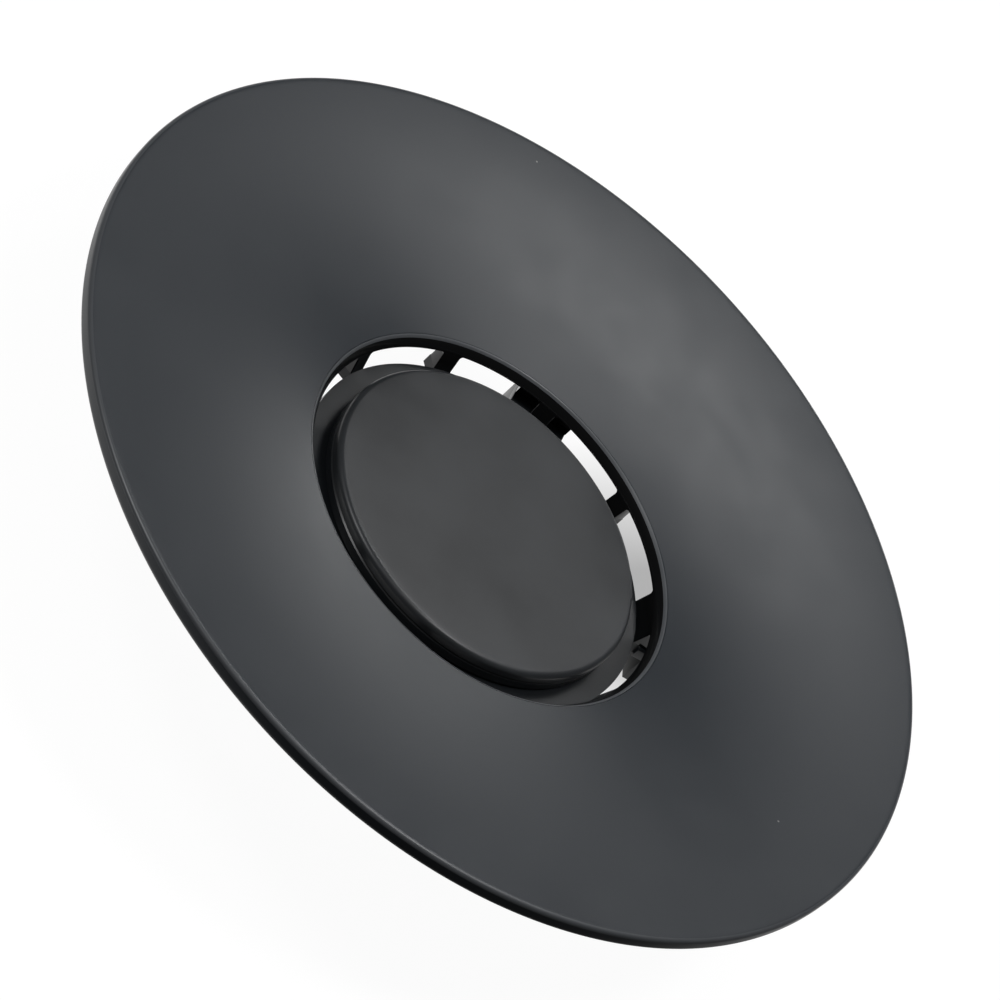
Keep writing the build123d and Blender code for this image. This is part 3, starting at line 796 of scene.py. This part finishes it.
def sections_round(corners, angles):
    """A stack of sections, one for each angle, from corners (radius, height) whose radius may be one for all
    angles or one for each."""
    count = len(angles)
    return np.stack(
        [
            np.column_stack([np.broadcast_to(radius, count), np.full(count, height)])
            for radius, height in corners
        ],
        axis=1,
    )


throat_sections = sections_round(throat_corners, throat_turn)
post_under = floor_under - 6.5 * mm
plain_satin = moulded(
    "plain_satin",
    dark=(0.0085, 0.0100, 0.0118),
    pale=(0.0115, 0.0132, 0.0152),
    roughness=0.33,
    spread=0.04,
)
sleeve_ear = block(ear_outline(collar_outer - ear_corner), floor_under, floor_top, crisp)
sleeve_post = block(ear_outline(collar_outer, post_inset), post_under, floor_under + crisp, crisp)
posts = [spun(shell, angle) for angle in screw_angles for shell in (sleeve_ear, sleeve_post)]
piece(
    "throat_sleeve_moulding",
    [turned(throat_sections, angles=throat_turn), *posts],
    plain_satin,
    "fitting",
    "gloss_black",
    "throat_sleeve",
)

# Screws of the stack
# Four stainless socket screws from below. They run through the posts and the ears into the brass inserts of
# the plate's bosses.
marks_group, inlet, outlet = node_group(
    "drawn_marks", {"Stretch": "Vector", "Roughness": "Float", "Spread": "Float"}, ("Height", "Roughness")
)
place = add(marks_group, "TexCoord").outputs["Object"]
drawn_out = add(marks_group, "VectorMath", {0: place, 1: inlet["Stretch"]}, operation="MULTIPLY").outputs[0]
rough = {"Vector": drawn_out, "Scale": 1.0, "Detail": 5.0, "Roughness": 0.7}
marks = add(marks_group, "TexNoise", rough).outputs["Fac"]
marks_group.links.new(marks, outlet["Height"])
marks_group.links.new(varied_roughness(marks_group, inlet, marks), outlet["Roughness"])


def metal(name, dull, bright, roughness, spread, stretch, depth):
    """A metal with drawn or turned marks: noise stretched along the marks, which varies the colour, the
    roughness and a bump. The stretch counts marks per metre on each axis."""
    material, tree = new_material(name)
    values = {"Stretch": stretch, "Roughness": roughness, "Spread": spread}
    drawn = add(tree, "Group", values, node_tree=marks_group)
    colour = blend(tree, drawn.outputs["Height"], (*dull, 1), (*bright, 1))
    surface(tree, colour, drawn, depth, {"Metallic": 1.0})
    return material


turned_steel = metal(
    "turned_steel",
    dull=(0.42, 0.41, 0.40),
    bright=(0.66, 0.65, 0.63),
    roughness=0.27,
    spread=0.07,
    stretch=(300.0, 300.0, 2500.0),
    depth=0.004 * mm,
)
hex_turn = full_turn(96)


def socket_screw(head_radius, head_under, head_top, socket_across, socket_depth, shank_radius, shank_top):
    """Section of a socket screw that points up, one for each angle of hex_turn: its socket's wall is half the
    width across flats over cos b, with b the angle from the nearest flat's middle."""
    hexagon = socket_across / 2 / np.cos(hex_turn % (pi / 3) - pi / 6)
    bevel = 0.12 * head_radius
    corners = [
        (0.0, head_under + socket_depth),
        (hexagon, head_under + socket_depth),
        (hexagon, head_under),
        (head_radius - bevel, head_under),
        (head_radius - edge_middle * bevel, head_under + edge_middle * bevel),
        (head_radius, head_under + bevel),
        (head_radius, head_top),
        (shank_radius, head_top),
        (shank_radius, shank_top),
        (0.0, shank_top),
    ]
    return sections_round(corners, hex_turn)


stack_screw = socket_screw(
    head_radius=3.0 * mm,
    head_under=post_under - 2.2 * mm,
    head_top=post_under,
    socket_across=2.5 * mm,
    socket_depth=1.3 * mm,
    shank_radius=1.5 * mm,
    shank_top=slot_top + 2.4 * mm,
)
screw_on_x = turned(stack_screw, (screw_circle, 0.0), hex_turn)
piece(
    "stack_screw_set",
    [spun(screw_on_x, angle) for angle in screw_angles],
    turned_steel,
    "fitting",
    "stainless",
    "stack_screws",
)

# Boss inserts
# Brass inserts pressed into the plate's bosses, which hold the screws.
brass = metal(
    "brass",
    dull=(0.52, 0.36, 0.14),
    bright=(0.78, 0.58, 0.27),
    roughness=0.3,
    spread=0.08,
    stretch=(300.0, 300.0, 2500.0),
    depth=0.004 * mm,
)


def dress(material, *nodes):
    """Give CAD nodes, which keep their own shape, a material."""
    for name in nodes:
        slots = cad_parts[name].data.materials
        slots.clear()
        slots.append(material)


dress(brass, "boss_inserts")

# Neck seal
# A rubber ring in the groove round the neck, against the underside of the floor.
seal_round = 1.0 * mm
seal_radius = neck_radius + 3.0 * mm
neck_seal_section = rounded_loop(
    [
        (groove_radius, seal_under, 0.0),
        (seal_radius, seal_under, seal_round),
        (seal_radius, floor_under, seal_round),
        (groove_radius, floor_under, 0.0),
    ]
)
piece("neck_seal_ring", [turned(neck_seal_section)], rubber, "fitting", "rubber", "neck_seal")

# Splash baffle
# A rubber sheet, slit into petals that fall towards a hole, with a thick bead that sits in the throat's seat.
baffle_radius = seat_radius - 0.05 * mm
baffle_hole = 8.0 * mm
bead = 2.0 * mm
bead_inner = throat_radius - bead
bead_under = seat_top - bead
sheet = 1.6 * mm
drop = 3.2 * mm
slit_half = 0.3 * mm
slit_count = 8
slit_end = bead_inner - 3.0 * mm


def baffle_fall(radius):
    """Share of the baffle's fall at a radius: none over the bead, then straight to all of it at the hole."""
    return (bead_inner - np.minimum(radius, bead_inner)) / (bead_inner - baffle_hole)


def baffle_top(radius):
    """Height of the baffle's upper face, which falls by its drop."""
    return seat_top - drop * baffle_fall(radius)


def baffle_under(radius):
    """Height of the baffle's lower face, which closes in on the upper one from the bead to the hole."""
    return bead_under + (bead - sheet - drop) * baffle_fall(radius)


petal_radii = np.linspace(baffle_hole, slit_end, 10)
petal_section = np.column_stack(
    [
        np.concatenate([petal_radii, petal_radii[::-1]]),
        np.concatenate([baffle_under(petal_radii), baffle_top(petal_radii[::-1])]),
    ]
)
petal_half = pi / slit_count - np.arcsin(slit_half / petal_section[:, 0])
petal_angles = np.linspace(-1, 1, 17)[:, None] * petal_half
petal_loops = np.stack(
    [
        petal_section[:, 0] * np.cos(petal_angles),
        petal_section[:, 0] * np.sin(petal_angles),
        np.broadcast_to(petal_section[:, 1], petal_angles.shape),
    ],
    axis=-1,
)
petal = lofted(petal_loops)
petals = [spun(petal, (index + 0.5) * 360 / slit_count) for index in range(slit_count)]
bead_start = slit_end - 0.2 * mm
bead_section = rounded_loop(
    [
        (bead_start, baffle_under(bead_start), 0.0),
        (bead_inner, bead_under, 0.0),
        (baffle_radius, bead_under, crisp),
        (baffle_radius, seat_top, crisp),
        (bead_inner, seat_top, 0.0),
        (bead_start, baffle_top(bead_start), 0.0),
    ]
)
piece("splash_baffle_rubber", [turned(bead_section), *petals], rubber, "fitting", "rubber", "splash_baffle")

# Baffle ring
# A chamfered ring in black plastic, put into the neck from below, which keeps the baffle's bead in its seat.
black_plastic = moulded(
    "black_plastic",
    dark=(0.010, 0.010, 0.011),
    pale=(0.014, 0.014, 0.015),
    roughness=0.42,
    spread=0.05,
    grain_scale=1800.0,
    grain_depth=0.01 * mm,
    dust_share=0.01,
    specular=0.5,
)
ring_inset = 0.8 * mm
baffle_ring_inner = baffle_radius - 3.3 * mm
baffle_ring_section = np.array(
    [
        (baffle_ring_inner, ring_inset + neck_chamfer),
        (baffle_ring_inner + neck_chamfer, ring_inset),
        (baffle_radius - neck_chamfer, ring_inset),
        (baffle_radius, ring_inset + neck_chamfer),
        (baffle_radius, bead_under),
        (baffle_ring_inner, bead_under),
    ]
)
piece(
    "baffle_ring_retainer",
    [turned(baffle_ring_section)],
    black_plastic,
    "fitting",
    "black_plastic",
    "baffle_ring",
)

# Plug
# A black plastic cup that hangs in the throat by its flange. Two keys run in the keyways, so it can't turn.
cap_radius = 36.2 * mm
skirt_inner = cap_radius - 1.5 * mm
plug_flange_radius = skirt_inner - 0.4 * mm
plug_flange_under = floor_top + 1.2 * mm
plug_top = plug_flange_under + 1.2 * mm
plug_under = plug_flange_under - 11.4 * mm
plug_floor_top = plug_under + 3.0 * mm
plug_radius = throat_radius - 0.5 * mm
plug_cup_radius = plug_radius - 2.5 * mm
stem_radius = 4.0 * mm
bush_bore = stem_radius + 0.05 * mm
bush_radius = bush_bore + 2.5 * mm
plug_round = 0.8 * mm
plug_section = rounded_loop(
    [
        (bush_radius, plug_under, 0.0),
        (plug_radius, plug_under, plug_round),
        (plug_radius, plug_flange_under, 0.0),
        (plug_flange_radius, plug_flange_under, crisp),
        (plug_flange_radius, plug_top, crisp),
        (plug_cup_radius, plug_top, crisp),
        (plug_cup_radius, plug_floor_top, root_round),
        (bush_radius, plug_floor_top, 0.0),
    ]
)
key_half = keyway_half - 0.4 * mm
key_radius = keyway_radius - 0.5 * mm
key_start = plug_radius - 1.25 * mm
key_length = 9.4 * mm
key_top = floor_top - 0.3 * mm
key_bow = np.linspace(-1, 1, 9) * np.arcsin(key_half / key_radius)
key_outline = np.vstack(
    [
        [(key_start, -key_half)],
        np.column_stack([key_radius * np.cos(key_bow), key_radius * np.sin(key_bow)]),
        [(key_start, key_half)],
    ]
)
key = block(key_outline, key_top - key_length, key_top, crisp)
piece(
    "plug_cup",
    [turned(plug_section), *[spun(key, angle) for angle in (0, 180)]],
    black_plastic,
    "plug",
    "black_plastic",
    "plug_body",
)

# Plug seal
# A flat rubber ring under the plug's flange, which closes the throat on the floor of the well.
plug_seal_section = rounded_loop(
    [
        (plug_radius, floor_top, 0.0),
        (plug_flange_radius, floor_top, crisp),
        (plug_flange_radius, plug_flange_under, crisp),
        (plug_radius, plug_flange_under, 0.0),
    ]
)
piece("plug_seal_ring", [turned(plug_seal_section)], rubber, "plug", "rubber", "plug_seal")

# Stem bush
# A flanged brass bush pressed into the plug's floor, in which the stem turns.
bush_flange = bush_bore + 5.0 * mm
bush_top = plug_floor_top + 1.5 * mm
bush_section = rounded_loop(
    [
        (bush_bore, plug_under, 0.0),
        (bush_radius, plug_under, 0.0),
        (bush_radius, plug_floor_top, 0.0),
        (bush_flange, plug_floor_top, crisp),
        (bush_flange, bush_top, crisp),
        (bush_bore, bush_top, crisp),
    ]
)
small_turn = full_turn(128)
piece("stem_bush_turned", [turned(bush_section, angles=small_turn)], brass, "plug", "brass", "stem_bush")

# Cap top
# The cap's disc in satin black plastic, with a painted reflection, broad mottling in its colour, and a
# rounded edge. Below it are the boss for the stem, two pockets for the magnets and a groove that takes the
# skirt's tongue.
disc_under = plug_top + 0.3 * mm
disc_top = disc_under + 2.7 * mm
disc_round = 1.3 * mm
seam_chamfer = 0.3 * mm
tongue_outer = skirt_inner + 0.6 * mm
tongue_top = disc_under + 0.9 * mm
stem_boss_under = bush_top + 0.3 * mm
stem_boss_radius = stem_radius + 5.0 * mm
stem_top = disc_top - 1.4 * mm
disc_face = [(radius, disc_top, 0.0) for radius in np.linspace(cap_radius - 2 * disc_round, 0, 12)]
disc_section = rounded_loop(
    [
        (stem_radius, stem_boss_under, 0.0),
        (stem_boss_radius, stem_boss_under, crisp),
        (stem_boss_radius, disc_under, 0.0),
        (skirt_inner, disc_under, 0.0),
        (skirt_inner, tongue_top, 0.0),
        (tongue_outer, tongue_top, 0.0),
        (tongue_outer, disc_under, 0.0),
        (cap_radius - seam_chamfer, disc_under, 0.0),
        (cap_radius, disc_under + seam_chamfer, 0.0),
        (cap_radius, disc_top, disc_round),
        *disc_face,
        (0.0, stem_top, 0.0),
        (stem_radius, stem_top, 0.0),
    ]
)
magnet_radius = 5.0 * mm
magnet_boss_radius = magnet_radius + 1.5 * mm
magnet_offset = 19.0 * mm
magnet_under = disc_under - 4.0 * mm
pocket_top = disc_under + 0.3 * mm
pocket_section = rounded_loop(
    [
        (magnet_radius, magnet_under, 0.0),
        (magnet_boss_radius, magnet_under, crisp),
        (magnet_boss_radius, pocket_top, 0.0),
        (magnet_radius, pocket_top, 0.0),
    ]
)
pockets = [turned(pocket_section, (0.0, side * magnet_offset), small_turn) for side in (1, -1)]
# Painted reflection: the disc's colour is mottled broadly from near black to grey.
mottled_reflection_satin = moulded(
    "mottled_reflection_satin",
    dark=(0.0010, 0.0013, 0.0017),
    pale=(0.0480, 0.0520, 0.0570),
    roughness=0.38,
    spread=0.11,
    mottle_scale=26.0,
)
piece("cap_disc", [turned(disc_section), *pockets], mottled_reflection_satin, "cap", "satin_black", "cap_top")

# Cap skirt
# A ring in satin black plastic under the disc, held by its tongue in the disc's groove, with a fine seam.
skirt_under = floor_top + 0.3 * mm
tongue_slack = 0.05 * mm
skirt_section = np.array(
    [
        (skirt_inner, skirt_under),
        (cap_radius - seam_chamfer, skirt_under),
        (cap_radius, skirt_under + seam_chamfer),
        (cap_radius, disc_under - seam_chamfer),
        (cap_radius - seam_chamfer, disc_under),
        (tongue_outer - tongue_slack, disc_under),
        (tongue_outer - tongue_slack, tongue_top - tongue_slack),
        (skirt_inner + tongue_slack, tongue_top - tongue_slack),
        (skirt_inner + tongue_slack, disc_under),
        (skirt_inner, disc_under - tongue_slack),
    ]
)
piece("cap_skirt_ring", [turned(skirt_section)], plain_satin, "cap", "gloss_black", "cap_skirt")

# Cap magnets
# Two nickel plated magnets in the disc's pockets, for the switch of a batch-feed disposal.
nickel = metal(
    "nickel",
    dull=(0.50, 0.47, 0.42),
    bright=(0.70, 0.67, 0.61),
    roughness=0.2,
    spread=0.05,
    stretch=(500.0, 500.0, 500.0),
    depth=0.002 * mm,
)
dress(nickel, "cap_magnets")

# Cap stem
# A turned stainless stem from the cap's boss down through the bush, with a flatted spigot for the lock bar
# and a hole for the screw that holds it.
spigot_radius = 3.0 * mm
spigot_flat = 2.2 * mm
thread_radius = 1.65 * mm
thread_top = bar_under + 7.0 * mm
stem_bevel = 0.3 * mm
flats = spigot_flat / np.maximum(np.abs(np.sin(small_turn)), hair)
spigot = np.minimum(spigot_radius, flats)
stem_corners = [
    (thread_radius, bar_under),
    (spigot, bar_under),
    (spigot, bar_top),
    (stem_radius, bar_top),
    (stem_radius, stem_top - stem_bevel),
    (stem_radius - stem_bevel, stem_top),
    (0.0, stem_top),
    (0.0, thread_top),
    (thread_radius, thread_top),
]
stem_sections = sections_round(stem_corners, small_turn)
piece(
    "cap_stem_turned",
    [turned(stem_sections, angles=small_turn)],
    turned_steel,
    "cap",
    "stainless",
    "cap_stem",
)

# Stem pin
# A stainless cross pin through the cap's boss and the stem, so that the stem turns with the cap.
dress(turned_steel, "stem_pin")

# Stem washer
# A stamped stainless washer round the stem, on top of the bar, which takes the thrust against the bush.
washer_inner = stem_radius + 0.3 * mm
washer_outer = washer_inner + 4.7 * mm
washer_top = bar_top + 0.8 * mm
washer_section = rounded_loop(
    [
        (washer_inner, bar_top, 0.0),
        (washer_outer, bar_top, seam_gap),
        (washer_outer, washer_top, seam_gap),
        (washer_inner, washer_top, 0.0),
    ]
)
piece(
    "stem_washer_stamped",
    [turned(washer_section, angles=small_turn)],
    turned_steel,
    "cap",
    "stainless",
    "stem_washer",
)

# Lock bar
# A brushed stainless bar on the stem's spigot, with ends rounded about the axis. It swings under the throat's
# ledge when the cap is turned.
brushed_steel = metal(
    "brushed_steel",
    dull=(0.40, 0.39, 0.38),
    bright=(0.62, 0.61, 0.59),
    roughness=0.3,
    spread=0.08,
    stretch=(40.0, 3000.0, 3000.0),
    depth=0.006 * mm,
)
bar_half = 5.5 * mm
bar_tip = keyway_radius - 0.9 * mm
tip_bow = np.linspace(-1, 1, 13) * np.arcsin(bar_half / bar_tip)
tip = np.column_stack([bar_tip * np.cos(tip_bow), bar_tip * np.sin(tip_bow)])
bar = block(np.vstack([tip, -tip]), bar_under, bar_top, crisp)
piece("lock_bar_stamped", [bar], brushed_steel, "cap", "stainless", "lock_bar")

# Stem screw
# A stainless socket screw that holds the bar on the stem from below.
stem_screw = socket_screw(
    head_radius=4.5 * mm,
    head_under=bar_under - 2.4 * mm,
    head_top=bar_under,
    socket_across=3.0 * mm,
    socket_depth=1.4 * mm,
    shank_radius=1.6 * mm,
    shank_top=thread_top - 0.3 * mm,
)
piece(
    "stem_screw_socket",
    [turned(stem_screw, angles=hex_turn)],
    turned_steel,
    "cap",
    "stainless",
    "stem_screw",
)
